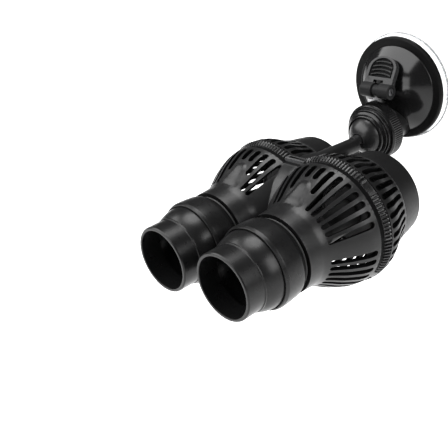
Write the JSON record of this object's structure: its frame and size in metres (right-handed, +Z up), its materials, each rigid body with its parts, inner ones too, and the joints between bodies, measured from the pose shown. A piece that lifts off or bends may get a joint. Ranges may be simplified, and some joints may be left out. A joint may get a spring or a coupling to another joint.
{
  "type": "wave maker pump",
  "caption": "Twin-head aquarium wave maker: slotted pump cages with swivelling outlet nozzles on a stem, ball joint and lever suction mount.",
  "frame": {"origin": "centre of the suction cup's face, where it meets the glass", "axes": "+Y out of the suction face into the glass, +Z up, the water leaves along -Y"},
  "size_m": [0.1108, 0.164, 0.104],
  "materials": {
    "clear_rubber": "clear flexible vinyl",
    "cover_plastic": "semi-gloss moulded black",
    "black_plastic": "satin moulded black",
    "pin_steel": "stainless steel",
    "lever_plastic": "satin moulded black",
    "nut_plastic": "satin moulded black, knurled",
    "inner_plastic": "natural moulded",
    "ball_plastic": "polished black",
    "housing_plastic": "satin moulded black",
    "cage_plastic": "satin moulded black",
    "band_plastic": "satin black, ribbed",
    "gland_rubber": "matt black rubber",
    "inner_black": "moulded black",
    "core_steel": "laminated steel",
    "copper": "enamelled copper wire",
    "ferrite": "ferrite",
    "shaft_ceramic": "white ceramic",
    "bush_rubber": "soft rubber",
    "bearing_plastic": "moulded dark grey",
    "impeller_plastic": "moulded dark grey",
    "seal_rubber": "matt black rubber",
    "nozzle_plastic": "satin moulded black"
  },
  "bodies": {
    "mount": {"suction_rubber": "clear_rubber", "suction_cover": "cover_plastic", "clamp_ring": "inner_plastic"},
    "cup_post": {"cup_post": "black_plastic", "lever_pin": "pin_steel"},
    "lever": {"lever": "lever_plastic"},
    "lock_nut": {"lock_nut": "nut_plastic"},
    "ball_seat": {"ball_seat": "inner_plastic"},
    "ball": {"mount_ball": "ball_plastic"},
    "pump": {"stem_arm": "black_plastic", "motor_housing": "housing_plastic", "rear_cage": "cage_plastic", "grip_band": "band_plastic", "cable_gland": "gland_rubber", "rotor_well_left": "inner_black", "stator_core_left": "core_steel", "coil_left": "copper", "bush_rear_left": "bush_rubber", "bearing_plate_left": "bearing_plastic", "rotor_well_right": "inner_black", "stator_core_right": "core_steel", "coil_right": "copper", "bush_rear_right": "bush_rubber", "bearing_plate_right": "bearing_plastic"},
    "cage": {"front_cage": "cage_plastic", "nozzle_oring_left": "seal_rubber", "nozzle_oring_right": "seal_rubber"},
    "rotor_left": {"magnet_left": "ferrite", "rotor_shaft_left": "shaft_ceramic", "impeller_left": "impeller_plastic"},
    "nozzle_ring_left": {"nozzle_ring_left": "nozzle_plastic"},
    "nozzle_tip_left": {"nozzle_tip_left": "nozzle_plastic"},
    "rotor_right": {"magnet_right": "ferrite", "rotor_shaft_right": "shaft_ceramic", "impeller_right": "impeller_plastic"},
    "nozzle_ring_right": {"nozzle_ring_right": "nozzle_plastic"},
    "nozzle_tip_right": {"nozzle_tip_right": "nozzle_plastic"}
  },
  "joints": [
    {"name": "lever_swing", "type": "hinge", "parent": "cup_post", "child": "lever", "pos_m": [0, -0.0225, 0.004], "axis": [1, 0, 0], "range_deg": [0, 105]},
    {"name": "post_travel", "type": "slide", "parent": "mount", "child": "cup_post", "axis": [0, 1, 0], "range_m": [0, 0.0025]},
    {"name": "nut_turn", "type": "hinge", "parent": "mount", "child": "lock_nut", "pos_m": [0, -0.0305, -0.018], "axis": [0, 1, 0], "range_deg": [0, 180]},
    {"name": "aim_yaw", "type": "hinge", "parent": "mount", "child": "ball_seat", "pos_m": [0, -0.0305, -0.018], "axis": [0, 0, 1], "range_deg": [-20, 20]},
    {"name": "aim_pitch", "type": "hinge", "parent": "ball_seat", "child": "ball", "pos_m": [0, -0.0305, -0.018], "axis": [1, 0, 0], "range_deg": [-20, 20]},
    {"name": "aim_roll", "type": "hinge", "parent": "ball", "child": "pump", "pos_m": [0, -0.0305, -0.018], "axis": [0, 1, 0], "range_deg": [-90, 90]},
    {"name": "cage_pull", "type": "slide", "parent": "pump", "child": "cage", "axis": [0, -1, 0], "range_m": [0, 0.05]},
    {"name": "rotor_spin_left", "type": "hinge", "parent": "pump", "child": "rotor_left", "pos_m": [-0.0216, -0.09, -0.0404], "axis": [0, 1, 0], "continuous": true},
    {"name": "nozzle_turn_left", "type": "hinge", "parent": "cage", "child": "nozzle_ring_left", "pos_m": [-0.0216, -0.1439, -0.0404], "axis": [0, 1, 0], "continuous": true},
    {"name": "nozzle_tilt_left", "type": "hinge", "parent": "nozzle_ring_left", "child": "nozzle_tip_left", "pos_m": [-0.0216, -0.1439, -0.0404], "axis": [1, 0, 0], "range_deg": [-12, 12]},
    {"name": "rotor_spin_right", "type": "hinge", "parent": "pump", "child": "rotor_right", "pos_m": [0.0216, -0.09, -0.0404], "axis": [0, 1, 0], "continuous": true},
    {"name": "nozzle_turn_right", "type": "hinge", "parent": "cage", "child": "nozzle_ring_right", "pos_m": [0.0216, -0.1439, -0.0404], "axis": [0, 1, 0], "continuous": true},
    {"name": "nozzle_tilt_right", "type": "hinge", "parent": "nozzle_ring_right", "child": "nozzle_tip_right", "pos_m": [0.0216, -0.1439, -0.0404], "axis": [1, 0, 0], "range_deg": [-12, 12]}
  ],
  "couplings": [
    {"joint": "lever_swing", "follows": "post_travel", "rad_per_m": 733.04}
  ]
}
